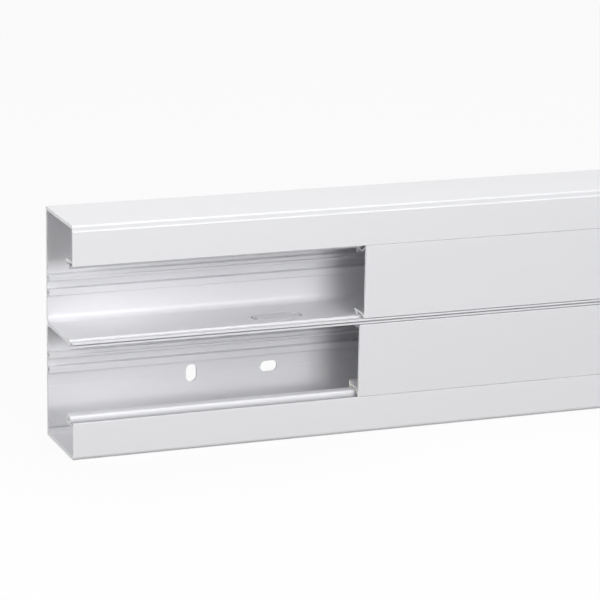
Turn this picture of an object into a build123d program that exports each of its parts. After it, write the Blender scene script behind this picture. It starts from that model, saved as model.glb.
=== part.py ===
from build123d import *
import os

# Two-compartment wall trunking in extruded PVC, a 2 m length with its two clip-on covers.
# Frame: X along the length, Y from the room to the wall, Z up. The origin lies in the middle of the
# foot. Millimetres throughout. A depth is measured from the wall face towards the room.

# Overall sizes
length = 2000.0
height = 140.0
depth = 55.0
wall = 2.0                      # back panel, top wall and bottom wall
partition_wall = 2.0            # shelf between the two compartments
front_wall = 1.6                # front flanges

# Front division, from the foot up: flange, aperture, nose, aperture, flange
bottom_flange_height = 22.5
aperture = 45.0                 # clear height that a clip-in device or a cover fills
nose_height = 3.5               # between the apertures, over the front edge of the partition

# Corners of the section
corner_radius = 2.5             # bottom front corner
top_corner_radius = 1.2
top_band_height = 3.5           # plain band over the step of the top flange
top_step = 0.7                  # how far the flange face stands out from that band
step_radius = 0.5
inner_radius = 1.5              # inside the front corners
flange_edge_radius = 0.3        # free edges of the flanges

# Hollow lip behind the free edge of each flange, with a groove between it and the flange
lip_groove = 4.9
lip_width = 7.0
lip_rise = 2.8                  # beyond the flange edge, into the aperture
lip_height = 5.5
lip_wall = 2.0
lip_web = 1.2                   # floor of the groove
lip_front_radius = 1.4
lip_back_radius = 0.8

# Nose of the partition: a slotted front edge with raised tips, and a snap ridge on either side
nose_setback = 0.4              # tips behind the front face
tip_width = 1.0
tip_rise = 0.5                  # over the face of the partition
tip_radius = 0.3
nose_slot_height = 0.8
nose_slot_depth = 5.0
ridge_inset = 6.4               # ridges behind the tips' front
ridge_width = 4.4
ridge_rise = 1.35               # over the face of the partition
ridge_front_radius = 1.2
ridge_back_radius = 0.5

# Rails on the back panel, a pair of ribs in each compartment
rail_spread = 47.4              # between the rails of the two compartments
rail_lift = 0.4                 # middle of the rails over the middle of the partition
rail_projection = 4.2
upper_rib_height = 4.0
lower_rib_height = 4.4
rib_spacing = 9.1               # between the middles of a pair's two ribs
rib_radius = 0.8
rib_shell = 1.3                 # wall of the hollow ribs
rib_bead_height = 2.0           # bead along the lower edge of the upper rib
rib_bead_projection = 1.6
rib_bead_radius = 0.8

# Root of the partition
cove_radius = 4.0
notch_height = 7.0
notch_depth = 1.6

# Small beads and grooves that run the whole length
bead_radius = 0.7
top_bead_depth = 22.0
shelf_bead_depths = (16.0, 35.0)
flange_bead_drop = 6.4          # under the top of the section
score_height = 1.0              # corner grooves of the back panel
score_offset = 4.4
score_depth = 1.2
drill_line_width = 0.8
drill_line_depth = 0.3

# Fixing slots in the back panel of the lower compartment
slot_width = 7.0
slot_length = 11.0
slot_level = 31.0
first_slot = 90.0               # first upright slot, from the left end
slot_pair_spacing = 50.0        # upright slot to level slot
slot_pitch = 250.0

# Knock-outs in the partition
knockout_length = 30.0
knockout_width = 16.0
knockout_depth = 30.0           # middle of the knock-out, from the wall face
first_knockout = 134.0
knockout_pitch = 500.0
knockout_score = 0.8            # width of the score line
knockout_score_depth = 1.0
knockout_cut = 2.4              # width of the open cuts at both ends
knockout_cut_height = 7.0

# Covers
cover_wall = 1.8
cover_gap = 0.15                # between a cover's edge and its neighbours
cover_edge_radius = 0.4
cover_length = 1819.0
lower_cover_offset = 3.0        # the lower cover sits this much further left
leg_wall = 1.1
knee_inset = 4.2                # bend of a hook's leg behind the plate
arm_root = 1.5                  # height of the arm where it meets the plate
snap_clearance = 0.4            # between a hook and what it holds
flange_leg_gap = 1.2            # hook leg over the flange lip
flange_catch = 2.0              # how deep the hook reaches behind the lip
flange_hook_wall = 1.2
flange_hook_tail = 2.0
nose_leg_gap = 1.05             # hook leg over the ridge of the nose
nose_barb_gap = 0.35            # barb over the partition
nose_barb_width = 2.5
nose_barb_ramp = 3.2
hook_radius = 0.3

# Sizes that follow from those above
cover_height = aperture - 2 * cover_gap
wall_y = depth / 2
left_x = -length / 2
nose_level = bottom_flange_height + aperture + nose_height / 2
mouth_top = bottom_flange_height + 2 * aperture + nose_height
nose_front_depth = depth - nose_setback
shelf_top = nose_level + partition_wall / 2
shelf_under = nose_level - partition_wall / 2
ridge_top = shelf_top + ridge_rise
ridge_front_depth = nose_front_depth - ridge_inset
ridge_back_depth = ridge_front_depth - ridge_width
lip_top = bottom_flange_height + lip_rise
lip_front_depth = depth - front_wall - lip_groove
lip_back_depth = lip_front_depth - lip_width
knee_depth = depth - cover_wall - knee_inset


def at(from_wall, level):
    """Point of the section at a depth from the wall face and a height over the foot."""
    return (wall_y - from_wall, level)


def area(depth_a, depth_b, level_a, level_b):
    """Rectangle of the section between two depths and two heights."""
    corners = [at(depth_a, level_a), at(depth_b, level_a), at(depth_b, level_b), at(depth_a, level_b)]
    return make_face(Polyline(*corners, close=True))


def outline(*points):
    """Straight-sided area of the section through the given depth and height pairs."""
    return make_face(Polyline(*[at(d, z) for d, z in points], close=True))


def disc(from_wall, level, radius):
    """Round area of the section."""
    y, z = at(from_wall, level)
    return Pos(y, z) * Circle(radius)


def rounded(face, radius, *points):
    """The face with the corners nearest to the given depth and height pairs rounded."""
    chosen = []
    for d, z in points:
        y, level = at(d, z)
        chosen.append(face.vertices().sort_by_distance((y, level, 0))[0])
    return fillet(chosen, radius)


def flipped(face):
    """The area mirrored top to bottom about the middle of the partition."""
    return mirror(face, about=Plane.XZ.offset(-nose_level))


def run(face, start, run_length):
    """The section's area pulled along X from a start position."""
    solid = extrude(Plane.YZ * face, run_length)
    return Pos(start, 0, 0) * solid


def shell_section():
    """Back panel, top and bottom walls and both front flanges."""
    outer = area(0, depth, 0, height)
    band = area(depth - top_step, depth + 1, height - top_band_height, height + 1)
    outer = outer - band
    outer = rounded(outer, corner_radius, (depth, 0))
    outer = rounded(outer, top_corner_radius, (depth - top_step, height))
    outer = rounded(outer, step_radius, (depth, height - top_band_height))
    inner = area(wall, depth - front_wall, wall, height - wall)
    inner = rounded(inner, inner_radius, (depth - front_wall, wall), (depth - front_wall, height - wall))
    mouth = area(depth - front_wall - 1, depth + 1, bottom_flange_height, mouth_top)
    shell = outer - inner - mouth
    return rounded(shell, flange_edge_radius, (depth, bottom_flange_height), (depth, mouth_top))


def lip_section():
    """Hollow lip that carries a cover's hook behind the bottom flange, and the web that holds it."""
    low = lip_top - lip_height
    lip = area(lip_back_depth, lip_front_depth, low, lip_top)
    lip = rounded(lip, lip_back_radius, (lip_back_depth, low), (lip_back_depth, lip_top))
    lip = rounded(lip, lip_front_radius, (lip_front_depth, lip_top))
    web = area(lip_front_depth - lip_wall / 2, depth - front_wall / 2, low, low + lip_web)
    hollow = area(lip_back_depth + lip_wall, lip_front_depth - lip_wall, low + lip_wall, lip_top - lip_wall)
    return lip + web - hollow


def tip_section():
    """Raised tip on the upper face of the partition's front edge."""
    back = nose_front_depth - tip_width
    top = shelf_top + tip_rise
    tip = area(back, nose_front_depth, nose_level, top)
    return rounded(tip, tip_radius, (back, top), (nose_front_depth, top))


def ridge_section():
    """Snap ridge on the upper face of the partition, behind its tip."""
    ridge = area(ridge_back_depth, ridge_front_depth, nose_level, ridge_top)
    ridge = rounded(ridge, ridge_front_radius, (ridge_front_depth, ridge_top))
    return rounded(ridge, ridge_back_radius, (ridge_back_depth, ridge_top))


def shelf_section():
    """Partition from its root in the back panel to its front edge."""
    shelf = area(wall / 2, nose_front_depth, shelf_under, shelf_top)
    corner = area(wall / 2, wall + cove_radius, nose_level, shelf_top + cove_radius)
    cove = corner - disc(wall + cove_radius, shelf_top + cove_radius, cove_radius)
    return shelf + cove + flipped(cove)


def rib_section(level, rib_height):
    """Outline of a rib of a rail."""
    front = wall + rail_projection
    low = level - rib_height / 2
    rib = area(wall / 2, front, low, low + rib_height)
    return rounded(rib, rib_radius, (front, low), (front, low + rib_height))


def rib_cell(level, rib_height):
    """Hollow of a rib."""
    side = rib_height / 2 - rib_shell
    return area(wall, wall + rail_projection - rib_shell, level - side, level + side)


def rail_section(level):
    """Pair of hollow ribs that inner fittings clip onto, the upper one beaded along its lower edge."""
    upper_level = level + rib_spacing / 2
    lower_level = level - rib_spacing / 2
    bead_low = upper_level - upper_rib_height / 2
    bead_front = wall + rail_projection + rib_bead_projection
    bead = area(wall / 2, bead_front, bead_low, bead_low + rib_bead_height)
    bead = rounded(bead, rib_bead_radius, (bead_front, bead_low), (bead_front, bead_low + rib_bead_height))
    upper = rib_section(upper_level, upper_rib_height) + bead - rib_cell(upper_level, upper_rib_height)
    lower = rib_section(lower_level, lower_rib_height) - rib_cell(lower_level, lower_rib_height)
    return upper + lower


def base_section():
    """Whole cross-section of the base profile."""
    section = shell_section() + shelf_section()
    for piece in (tip_section(), ridge_section(), lip_section()):
        section = section + piece + flipped(piece)
    for side in (-1, 1):
        section = section + rail_section(nose_level + rail_lift + side * rail_spread / 2)
    section = section + disc(top_bead_depth, height - wall, bead_radius)
    section = section + disc(depth - front_wall, height - flange_bead_drop, bead_radius)
    for bead_depth in shelf_bead_depths:
        section = section + disc(bead_depth, shelf_under, bead_radius)
    slot = area(nose_front_depth - nose_slot_depth, nose_front_depth + 1,
                nose_level - nose_slot_height / 2, nose_level + nose_slot_height / 2)
    notch = outline((-1, nose_level - notch_height / 2), (notch_depth, nose_level),
                    (-1, nose_level + notch_height / 2))
    section = section - slot - notch
    for low in (score_offset, height - score_offset - score_height):
        section = section - area(wall - score_depth, wall + 1, low, low + score_height)
    return section - area(wall - drill_line_depth, wall + 1, slot_level - drill_line_width / 2,
                          slot_level + drill_line_width / 2)


def places(first, pitch, clear):
    """Positions along X of a repeated feature that stays clear of the right end."""
    found = []
    place = first
    while place + clear < length:
        found.append(left_x + place)
        place = place + pitch
    return found


def fixing_slots():
    """Cutters of the upright and the level fixing slots."""
    cutters = []
    upright = SlotOverall(slot_length, slot_width, rotation=90)
    level = SlotOverall(slot_length, slot_width)
    for x in places(first_slot, slot_pitch, slot_pair_spacing + slot_length):
        for shape, shift in ((upright, 0), (level, slot_pair_spacing)):
            plane = Plane(origin=(x + shift, wall_y + 1, slot_level), x_dir=(1, 0, 0), z_dir=(0, -1, 0))
            cutters.append(extrude(plane * shape, wall + 2))
    return cutters


def knockouts():
    """Cutters of the knock-outs: a score line all round and an open cut at both ends."""
    cutters = []
    y = wall_y - knockout_depth
    outer = SlotOverall(knockout_length, knockout_width)
    ring = outer - offset(outer, -knockout_score)
    cut = outer - offset(outer, -knockout_cut)
    ends = Pos(-knockout_length / 2, 0) * Rectangle(knockout_width, knockout_cut_height)
    ends = ends + Pos(knockout_length / 2, 0) * Rectangle(knockout_width, knockout_cut_height)
    for x in places(first_knockout, knockout_pitch, knockout_length):
        top = Pos(x, y, shelf_top - knockout_score_depth)
        under = Pos(x, y, shelf_under - 1)
        cutters.append(top * extrude(ring, knockout_score_depth + 1))
        cutters.extend((under * extrude(cut & ends, partition_wall + 2)).solids())
    return cutters


def build_base():
    """The extruded base profile with its slots and knock-outs."""
    base = run(base_section(), left_x, length)
    return base - fixing_slots() - knockouts()


def leg_section(back, edge_level, low):
    """Leg of a hook up to its knee, and the slanting arm from there to the edge of the plate."""
    root = depth - cover_wall / 2
    high = low + leg_wall
    leg = area(back, knee_depth, low, high)
    arm = outline((knee_depth, low), (knee_depth, high), (root, edge_level + arm_root), (root, edge_level))
    return leg + arm


def flange_hook():
    """Hook of the lower cover behind the lip of the bottom flange."""
    leg_low = lip_top + flange_leg_gap
    back = lip_back_depth - snap_clearance - flange_hook_wall
    catch_low = lip_top - flange_catch
    tail_top = leg_low + leg_wall + flange_hook_tail
    leg = leg_section(back + flange_hook_wall / 2, bottom_flange_height + cover_gap, leg_low)
    catch = area(back, back + flange_hook_wall, catch_low, tail_top)
    catch = rounded(catch, hook_radius, (back, catch_low), (back, tail_top),
                    (back + flange_hook_wall, tail_top), (back + flange_hook_wall, catch_low))
    return leg + catch


def nose_hook():
    """Hook of the upper cover behind the ridge of the nose."""
    low = ridge_top + nose_leg_gap
    high = low + leg_wall
    front = ridge_back_depth - snap_clearance
    back = front - nose_barb_width
    barb_low = shelf_top + nose_barb_gap
    leg = leg_section(back, nose_level + nose_height / 2 + cover_gap, low)
    barb = outline((front, high), (front, barb_low), (back, barb_low), (back - nose_barb_ramp, high))
    barb = rounded(barb, hook_radius, (front, barb_low), (back, barb_low), (back - nose_barb_ramp, high))
    return leg + barb


def lower_cover_section():
    """Flat cover plate with a hook along each edge."""
    low = bottom_flange_height + cover_gap
    high = low + cover_height
    plate = area(depth - cover_wall, depth, low, high)
    plate = rounded(plate, cover_edge_radius, (depth, low), (depth, high))
    return plate + flange_hook() + flipped(nose_hook())


def build_cover(section, offset_left):
    """A cover, its right end level with the base's end less the offset."""
    return run(section, -left_x - cover_length - offset_left, cover_length)


parts = {
    "base_profile": build_base(),
    "upper_cover": build_cover(flipped(lower_cover_section()), 0),
    "lower_cover": build_cover(lower_cover_section(), lower_cover_offset),
}

os.makedirs("parts", exist_ok=True)
for name, shape in parts.items():
    shape.label = name
    export_step(shape, "parts/" + name + ".step")
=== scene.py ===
"""Looks of a two-compartment wall trunking in white rigid PVC, with its two clip-on covers.

Metres throughout. X runs along the length, Y from the room to the wall and Z up.
"""

import logging
import math
from dataclasses import dataclass, field
from enum import Enum
from typing import Any, Dict, Optional, Sequence, Tuple, Union

import bpy
from mathutils import Matrix, Vector


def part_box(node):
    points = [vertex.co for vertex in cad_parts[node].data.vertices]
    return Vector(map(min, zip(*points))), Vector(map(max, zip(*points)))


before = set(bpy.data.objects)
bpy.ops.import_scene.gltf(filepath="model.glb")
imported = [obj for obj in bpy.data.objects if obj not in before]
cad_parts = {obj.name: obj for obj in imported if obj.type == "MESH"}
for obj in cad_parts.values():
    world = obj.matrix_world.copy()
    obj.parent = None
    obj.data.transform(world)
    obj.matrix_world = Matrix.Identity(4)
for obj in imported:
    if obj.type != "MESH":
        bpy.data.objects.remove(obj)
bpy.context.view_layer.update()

LOG = logging.getLogger("trunking")
IMAGE_SIZE = 600
SENSOR_WIDTH = 36.0
MILLIMETRES = 1000.0
SQUARE_ON = 0.9

Colour = Tuple[float, float, float, float]
Place = Tuple[float, float, float]
Operand = Union["Channel", float]

LEFT_PART: Place = (-0.8, 0.0, 0.07)
MIDDLE: Place = (0.0, 0.0, 0.07)
RIGHT_PART: Place = (0.8, 0.0, 0.07)
RIGHT_END: Place = (1.0, 0.0, 0.07)


def grey(level: float) -> Colour:
    """Neutral colour of one level."""
    return (level, level, level, 1.0)


class Operation(Enum):
    """What a Math node does."""

    ADD = "ADD"
    SUBTRACT = "SUBTRACT"
    MULTIPLY = "MULTIPLY"
    OVER = "GREATER_THAN"
    SIZE = "ABSOLUTE"
    LEAST = "MINIMUM"
    MOST = "MAXIMUM"
    ROOT = "SQRT"
    FRACTION = "FRACT"


class Ray(Enum):
    """Kinds of ray that see plain white surroundings."""

    CAMERA = "Is Camera Ray"
    GLOSSY = "Is Glossy Ray"
    TRANSMISSION = "Is Transmission Ray"


@dataclass(frozen=True)
class Channel:
    """One value of a node tree, with arithmetic that adds Math nodes."""

    graph: "Graph"
    socket: bpy.types.NodeSocket

    def __add__(self, other: Operand) -> "Channel":
        """This value plus another."""
        return self.graph.math(Operation.ADD, self, other)

    __radd__ = __add__

    def __sub__(self, other: Operand) -> "Channel":
        """This value less another."""
        return self.graph.math(Operation.SUBTRACT, self, other)

    def __rsub__(self, other: Operand) -> "Channel":
        """Another value less this one."""
        return self.graph.math(Operation.SUBTRACT, other, self)

    def __mul__(self, other: Operand) -> "Channel":
        """This value times another."""
        return self.graph.math(Operation.MULTIPLY, self, other)

    __rmul__ = __mul__

    def above(self, level: Operand) -> "Channel":
        """1 where this value is over a level, and 0 elsewhere."""
        return self.graph.math(Operation.OVER, self, level)

    def between(self, low: float, high: float) -> "Channel":
        """1 where this value is between two levels, and 0 elsewhere."""
        return self.above(low) * (1.0 - self.above(high))

    def absolute(self) -> "Channel":
        """The size of this value without its sign."""
        return self.graph.math(Operation.SIZE, self)

    def fraction(self) -> "Channel":
        """What this value has over its whole part."""
        return self.graph.math(Operation.FRACTION, self)

    def root(self) -> "Channel":
        """Square root of this value."""
        return self.graph.math(Operation.ROOT, self)

    def at_least(self, level: Operand) -> "Channel":
        """The larger of this value and a level."""
        return self.graph.math(Operation.MOST, self, level)

    def clamped(self) -> "Channel":
        """This value held between 0 and 1."""
        return self.graph.math(Operation.LEAST, self.at_least(0.0), 1.0)


class Graph:
    """Builder of one node tree."""

    def __init__(self, owner: Union[bpy.types.Material, bpy.types.World]) -> None:
        """Empties the node tree of a material or world.

        Args:
            owner: The material or world whose nodes are built.
        """
        owner.use_nodes = True
        self.tree = owner.node_tree
        self.tree.nodes.clear()

    def node(self, kind: str, settings: Dict[str, Any], inputs: Dict[Any, Any]) -> bpy.types.Node:
        """Adds a node, sets it up and feeds its sockets.

        Args:
            kind: Blender's type name of the node.
            settings: Attributes of the node, set before its sockets are fed.
            inputs: Value, Channel or socket for each input, by name or number.

        Returns:
            The new node.
        """
        made = self.tree.nodes.new(kind)
        for key, value in settings.items():
            setattr(made, key, value)
        for key, value in inputs.items():
            if isinstance(value, Channel):
                self.tree.links.new(value.socket, made.inputs[key])
            elif isinstance(value, bpy.types.NodeSocket):
                self.tree.links.new(value, made.inputs[key])
            else:
                made.inputs[key].default_value = value
        return made

    def channel(self, made: bpy.types.Node, output: Any = 0) -> Channel:
        """One output of a node as a Channel."""
        return Channel(self, made.outputs[output])

    def math(self, operation: Operation, first: Operand, second: Operand = 0.0) -> Channel:
        """Result of a Math node on one or two values."""
        made = self.node("ShaderNodeMath", {"operation": operation.value}, {0: first, 1: second})
        return self.channel(made)

    def seen(self) -> Channel:
        """Tells the rays that see the surroundings from those that light the object.

        Returns:
            1 for the rays that see plain white, and 0 for the rest.
        """
        path = self.node("ShaderNodeLightPath", {}, {})
        share = self.channel(path, Ray.CAMERA.value)
        for ray in (Ray.GLOSSY, Ray.TRANSMISSION):
            share = share.at_least(self.channel(path, ray.value))
        return share

    def noise(self, vector: bpy.types.NodeSocket, cells: Place, detail: float, rough: float = 0.5) -> Channel:
        """Fractal noise about 0.5.

        Args:
            vector: Place at which it is read.
            cells: Cells in a metre along X, Y and Z.
            detail: Octaves.
            rough: Weight of the finer octaves.

        Returns:
            The noise as a Channel.
        """
        stretched = self.node("ShaderNodeMapping", {}, {"Vector": vector, "Scale": cells})
        made = self.node("ShaderNodeTexNoise", {}, {
            "Vector": stretched.outputs["Vector"], "Scale": 1.0, "Detail": detail, "Roughness": rough})
        return self.channel(made, "Fac")

    def blend(self, share: Operand, first: Any, second: Any) -> bpy.types.NodeSocket:
        """Colour between two colours.

        Args:
            share: How much of the second colour there is.
            first: Colour or socket at 0.
            second: Colour or socket at 1.

        Returns:
            Socket with the mixed colour.
        """
        made = self.node("ShaderNodeMix", {"data_type": "RGBA"}, {0: share, 6: first, 7: second})
        return made.outputs[2]


class Spot:
    """Place and facing of a shaded point, for masks."""

    def __init__(self, graph: Graph) -> None:
        """Reads the Object place and the normal.

        Args:
            graph: Material in which it is read.
        """
        texture = graph.node("ShaderNodeTexCoord", {}, {})
        self.vector = texture.outputs["Object"]
        where = graph.node("ShaderNodeSeparateXYZ", {}, {0: self.vector})
        facing = graph.node("ShaderNodeSeparateXYZ", {}, {0: texture.outputs["Normal"]})
        self.along = graph.channel(where, "X")
        self.across = graph.channel(where, "Y")
        self.level = graph.channel(where, "Z")
        self.ends = graph.channel(facing, "X").absolute().above(SQUARE_ON)
        self.upward = graph.channel(facing, "Z").above(SQUARE_ON)


@dataclass(frozen=True)
class KnockoutRim:
    """Rim that the punch leaves round each knock-out of the partition. Its colours are a painted highlight
    along the score line, a darker plate inside it and painted shade in the open cuts at its ends.
    """

    first: float = -0.866
    pitch: float = 0.5
    middle: float = -0.0025
    length: float = 0.030
    width: float = 0.016
    score: float = 0.0004
    reach: float = 0.0017
    firmness: float = 1.6
    depth: float = 0.00045
    cut: float = 0.0035
    cut_start: float = 0.0048
    shelf_low: float = 0.069
    shelf_high: float = 0.0712
    # painted highlight along the rim's score line
    rim_highlight: Colour = (0.99, 0.99, 0.995, 1.0)
    plate: Colour = (0.77, 0.77, 0.795, 1.0)
    # painted shade in the open cuts at the rim's ends
    gap: Colour = (0.14, 0.14, 0.15, 1.0)

    def masks(self, spot: Spot) -> Tuple[Channel, Channel, Channel]:
        """Finds the rim's painted highlight, the plate inside it and the open cuts at its ends, which get
        painted shade.

        Args:
            spot: Place and facing of the shaded point.

        Returns:
            1 on the score line, falling to 0 at the rim's reach; 1 on the plate; and 1 at the cuts.
        """
        radius = self.width / 2
        straight = self.length / 2 - radius
        turns = (spot.along - self.first) * (1.0 / self.pitch) + 0.5
        off = ((turns.fraction() - 0.5).absolute() * self.pitch - straight).at_least(0.0)
        side = spot.across - self.middle
        outside = (off * off + side * side).root() - (radius - self.score)
        here = spot.upward * spot.level.between(self.shelf_low, self.shelf_high)
        near = (self.firmness - outside.absolute() * (self.firmness / self.reach)).clamped() * here
        plate = (1.0 - outside.above(0.0)) * here
        beside = side.absolute().above(self.cut)
        return near * beside, plate, near * (1.0 - beside) * off.above(self.cut_start)


@dataclass(frozen=True)
class LipGroove:
    """Bottom of the groove between each flange and its lip, with a tone that stands in for shade."""

    middle_level: float = 0.06925
    start: float = 0.0457
    full: float = 0.0480
    floor: float = 0.0487
    front: float = -0.0262
    back: float = -0.0200
    colour: Colour = (0.50, 0.50, 0.52, 1.0)

    def mask(self, spot: Spot) -> Channel:
        """Finds the bottom of both grooves, which mirror each other about the partition.

        Args:
            spot: Place and facing of the shaded point.

        Returns:
            0 at the mouth of the groove and 1 deep in it.
        """
        away = (spot.level - self.middle_level).absolute()
        inside = ((away - self.start) * (1.0 / (self.full - self.start))).clamped()
        return inside * (1.0 - away.above(self.floor)) * spot.across.between(self.front, self.back)


@dataclass(frozen=True)
class RidgeFront:
    """Rounded front of the partition's upper snap ridge, with a tone that stands in for shade."""

    front: float = -0.0212
    back: float = -0.0188
    low: float = 0.0703
    high: float = 0.0720
    colour: Colour = (0.74, 0.74, 0.76, 1.0)

    def mask(self, spot: Spot) -> Channel:
        """1 on the ridge's front, and 0 elsewhere."""
        return spot.across.between(self.front, self.back) * spot.level.between(self.low, self.high)


@dataclass(frozen=True)
class WarmEndTone:
    """Warmer tone of the cut end round the lowest hook."""

    top: float = 0.0330
    colour: Colour = (0.90, 0.89, 0.78, 1.0)

    def mask(self, spot: Spot) -> Channel:
        """1 on the cut ends under the tint's top, and 0 elsewhere."""
        return spot.ends * (1.0 - spot.level.above(self.top))


@dataclass(frozen=True)
class PvcFinish:
    """White rigid PVC as it leaves the die, with sawn ends."""

    name: str
    colour: Colour
    shade: Colour
    sawn: Colour
    rim: Optional[KnockoutRim] = None
    groove: Optional[LipGroove] = None
    ridge: Optional[RidgeFront] = None
    tint: Optional[WarmEndTone] = None
    line_cells: Place = (0.6, 900.0, 900.0)
    cloud_cells: Place = (4.0, 30.0, 30.0)
    tooth_cells: Place = (400.0, 160.0, 2600.0)
    cloud_contrast: float = 1.4
    line_depth: float = 0.000012
    saw_depth: float = 0.00006
    roughness: float = 0.34
    haze: float = 0.10
    sawn_roughness: float = 0.2
    refraction: float = 1.53

    def material(self) -> bpy.types.Material:
        """Builds the material.

        Returns:
            The finished material.
        """
        material = bpy.data.materials.new(self.name)
        graph = Graph(material)
        spot = Spot(graph)
        lines = graph.noise(spot.vector, self.line_cells, 3.0, 0.6)
        clouds = graph.noise(spot.vector, self.cloud_cells, 4.0)
        teeth = graph.noise(spot.vector, self.tooth_cells, 2.0)
        colour = graph.blend((clouds - 0.5) * self.cloud_contrast + 0.5, self.colour, self.shade)
        height = lines * self.line_depth * (1.0 - spot.ends) + teeth * self.saw_depth * spot.ends
        for tone in (self.groove, self.ridge):
            if tone:
                colour = graph.blend(tone.mask(spot), colour, tone.colour)
        colour = graph.blend(spot.ends, colour, self.sawn)
        if self.tint:
            colour = graph.blend(self.tint.mask(spot), colour, self.tint.colour)
        if self.rim:
            near, plate, cuts = self.rim.masks(spot)
            # Painted highlight along the rim's score line, a darker plate inside it and painted shade in the
            # open cuts at its ends
            colour = graph.blend(plate, colour, self.rim.plate)
            colour = graph.blend(near, colour, self.rim.rim_highlight)
            colour = graph.blend(cuts, colour, self.rim.gap)
            height = height - near * self.rim.depth
        grain = (clouds - 0.5) * self.haze + (lines - 0.5) * self.haze
        rough = self.roughness + grain + spot.ends * self.sawn_roughness
        bump = graph.node("ShaderNodeBump", {}, {"Height": height, "Distance": 1.0, "Strength": 1.0})
        shader = graph.node("ShaderNodeBsdfPrincipled", {}, {
            "Base Color": colour, "Roughness": rough.clamped(), "IOR": self.refraction,
            "Normal": bump.outputs["Normal"]})
        graph.node("ShaderNodeOutputMaterial", {}, {"Surface": shader.outputs["BSDF"]})
        return material


@dataclass
class Profile:
    """One extruded length of the trunking, which is a solid of the frame."""

    node: str
    finish: PvcFinish

    def dress(self) -> None:
        """Gives the solid its finish."""
        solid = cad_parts[self.node]
        solid.data.materials.clear()
        solid.data.materials.append(self.finish.material())
        low, high = (Vector(corner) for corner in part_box(self.node))
        LOG.info("dressed %s, %.0f mm long", self.node, (high - low).x * MILLIMETRES)


@dataclass
class BaseProfile(Profile):
    """The base: back panel, walls, flanges with lips, partition and rails."""

    node: str = "base_profile"
    finish: PvcFinish = field(default_factory=lambda: PvcFinish(
        "white_pvc_base",
        colour=(0.882, 0.882, 0.905, 1.0),
        shade=(0.862, 0.862, 0.887, 1.0),
        sawn=(0.91, 0.908, 0.915, 1.0),
        rim=KnockoutRim(), groove=LipGroove(), ridge=RidgeFront()))


@dataclass
class UpperCover(Profile):
    """The clip-on cover over the upper opening."""

    node: str = "upper_cover"
    # Its colours are a little darker than the base's: painted shade on the same PVC.
    finish: PvcFinish = field(default_factory=lambda: PvcFinish(
        "white_pvc_upper_cover",
        colour=(0.870, 0.870, 0.895, 1.0),
        shade=(0.850, 0.850, 0.877, 1.0),
        sawn=(0.90, 0.898, 0.905, 1.0)))


@dataclass
class LowerCover(Profile):
    """The clip-on cover over the lower opening, with a warmer tone on its lower hook's cut end."""

    node: str = "lower_cover"
    # Its colours are darker still than the upper cover's: painted shade, darker towards the bottom.
    finish: PvcFinish = field(default_factory=lambda: PvcFinish(
        "white_pvc_lower_cover",
        colour=(0.862, 0.862, 0.887, 1.0),
        shade=(0.842, 0.842, 0.869, 1.0),
        sawn=(0.90, 0.898, 0.905, 1.0),
        tint=WarmEndTone()))


@dataclass(frozen=True)
class Lamp:
    """A soft rectangular lamp, which may be kept out of reflections."""

    name: str
    place: Place
    size: Tuple[float, float]
    watts: float
    target: Place = LEFT_PART
    mirrored: bool = True

    def hang(self) -> None:
        """Hangs the lamp and turns it to its target."""
        data = bpy.data.lights.new(self.name, "AREA")
        data.shape = "RECTANGLE"
        data.size, data.size_y = self.size
        data.energy = self.watts
        lamp = bpy.data.objects.new(self.name, data)
        lamp.visible_glossy = self.mirrored
        bpy.context.scene.collection.objects.link(lamp)
        ahead = Vector(self.target) - Vector(self.place)
        turn = ahead.to_track_quat("-Z", "Y").to_matrix().to_4x4()
        lamp.matrix_world = Matrix.Translation(Vector(self.place)) @ turn


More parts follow.
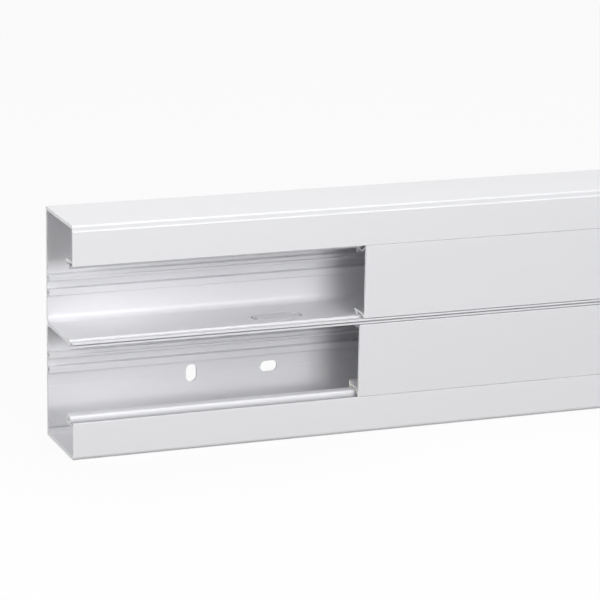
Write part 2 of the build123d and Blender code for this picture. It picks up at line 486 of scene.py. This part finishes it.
@dataclass
class Studio:
    """Floor, surroundings, lamps and camera."""

    eye: Place = (-1.442785, -1.531511, 0.503317)
    yaw: float = 0.369284
    pitch: float = 0.253266
    roll: float = 0.016098
    focal_pixels: float = 2821.5
    nearest: float = 0.05
    furthest: float = 50.0
    ambient: float = 0.02
    floor_size: float = 24.0
    floor_bounce: float = 0.08
    floor_tone: float = 0.9
    floor_glow: float = 0.9
    lamps: Sequence[Lamp] = (
        Lamp("front_low", (-0.7, -2.5, 0.12), (1.2, 0.7), 5.04),
        Lamp("front_strip", (-0.65, -2.4, 0.5), (0.8, 0.3), 12.80),
        Lamp("front_high", (-0.7, -2.4, 0.9), (1.2, 1.2), 7.07),
        Lamp("front_near", (-0.75, -1.0, 0.65), (0.7, 0.7), 2.81),
        Lamp("front_over", (-0.7, -1.2, 1.5), (0.8, 0.8), 2.10),
        Lamp("front_right", (2.2, -1.6, 0.4), (1.0, 0.8), 14.32, (0.6, 0.0, 0.07)),
        Lamp("left", (-3.2, -0.3, 0.4), (1.2, 0.8), 15.76),
        Lamp("left_high", (-2.6, -0.3, 1.6), (1.2, 1.2), 12.89),
        Lamp("left_near", (-1.35, -0.35, 0.35), (0.4, 0.4), 0.52),
        Lamp("near_over", (-0.7, -0.45, 0.95), (0.6, 0.6), 1.05),
        Lamp("over", (-0.1, -0.55, 2.1), (0.8, 0.8), 0.76),
        Lamp("behind", (-0.8, 0.8, 2.2), (1.2, 1.2), 13.60),
        Lamp("over_right", (1.3, 0.3, 2.2), (1.2, 1.2), 13.0, RIGHT_PART, mirrored=False),
        Lamp("back", (0.0, 3.0, 0.22), (2.4, 0.4), 37.80, MIDDLE, mirrored=False),
        Lamp("right", (3.0, 0.7, 0.25), (0.8, 0.4), 15.28, RIGHT_END, mirrored=False),
    )

    def camera(self) -> None:
        """Creates the camera at the photograph's place."""
        data = bpy.data.cameras.new("camera")
        data.sensor_width = SENSOR_WIDTH
        data.sensor_fit = "HORIZONTAL"
        data.lens = self.focal_pixels / IMAGE_SIZE * SENSOR_WIDTH
        data.clip_start = self.nearest
        data.clip_end = self.furthest
        camera = bpy.data.objects.new("camera", data)
        bpy.context.scene.collection.objects.link(camera)
        ahead = Vector((
            math.sin(self.yaw) * math.cos(self.pitch),
            math.cos(self.yaw) * math.cos(self.pitch),
            -math.sin(self.pitch)))
        level = Vector((math.cos(self.yaw), -math.sin(self.yaw), 0.0))
        upright = level.cross(ahead)
        right = level * math.cos(self.roll) + upright * math.sin(self.roll)
        top = upright * math.cos(self.roll) - level * math.sin(self.roll)
        turn = Matrix((right, top, -ahead)).transposed()
        camera.matrix_world = Matrix.Translation(Vector(self.eye)) @ turn.to_4x4()
        bpy.context.scene.camera = camera

    def world(self) -> None:
        """Plain surroundings, white to the camera and dim to the object."""
        world = bpy.data.worlds.new("world")
        graph = Graph(world)
        strength = self.ambient + graph.seen() * (1.0 - self.ambient)
        background = graph.node("ShaderNodeBackground", {}, {"Color": grey(1.0), "Strength": strength})
        graph.node("ShaderNodeOutputWorld", {}, {0: background.outputs[0]})
        bpy.context.scene.world = world

    def floor(self) -> None:
        """Adds the pale floor, which is white to the camera apart from a faint shadow."""
        bpy.ops.object.select_all(action="DESELECT")
        bpy.ops.mesh.primitive_plane_add(size=self.floor_size, location=(0.0, 0.0, 0.0))
        floor = bpy.context.object
        floor.name = "floor"
        material = bpy.data.materials.new("floor")
        graph = Graph(material)
        seen = graph.seen()
        shade = graph.blend(seen, grey(self.floor_bounce), grey(self.floor_tone))
        plain = graph.node("ShaderNodeBsdfDiffuse", {}, {"Color": shade})
        white = graph.node("ShaderNodeEmission", {}, {"Color": grey(1.0), "Strength": 1.0})
        mixed = graph.node("ShaderNodeMixShader", {}, {
            0: seen * self.floor_glow, 1: plain.outputs[0], 2: white.outputs[0]})
        graph.node("ShaderNodeOutputMaterial", {}, {"Surface": mixed.outputs[0]})
        floor.data.materials.append(material)

    def build(self) -> None:
        """Builds the whole studio."""
        bpy.context.scene.view_settings.view_transform = "Standard"
        self.camera()
        self.world()
        self.floor()
        for lamp in self.lamps:
            lamp.hang()


def main() -> None:
    """Builds the studio and dresses the trunking."""
    logging.basicConfig(level=logging.INFO)
    Studio().build()
    for profile in (BaseProfile(), UpperCover(), LowerCover()):
        profile.dress()


if __name__ == "__main__":
    main()
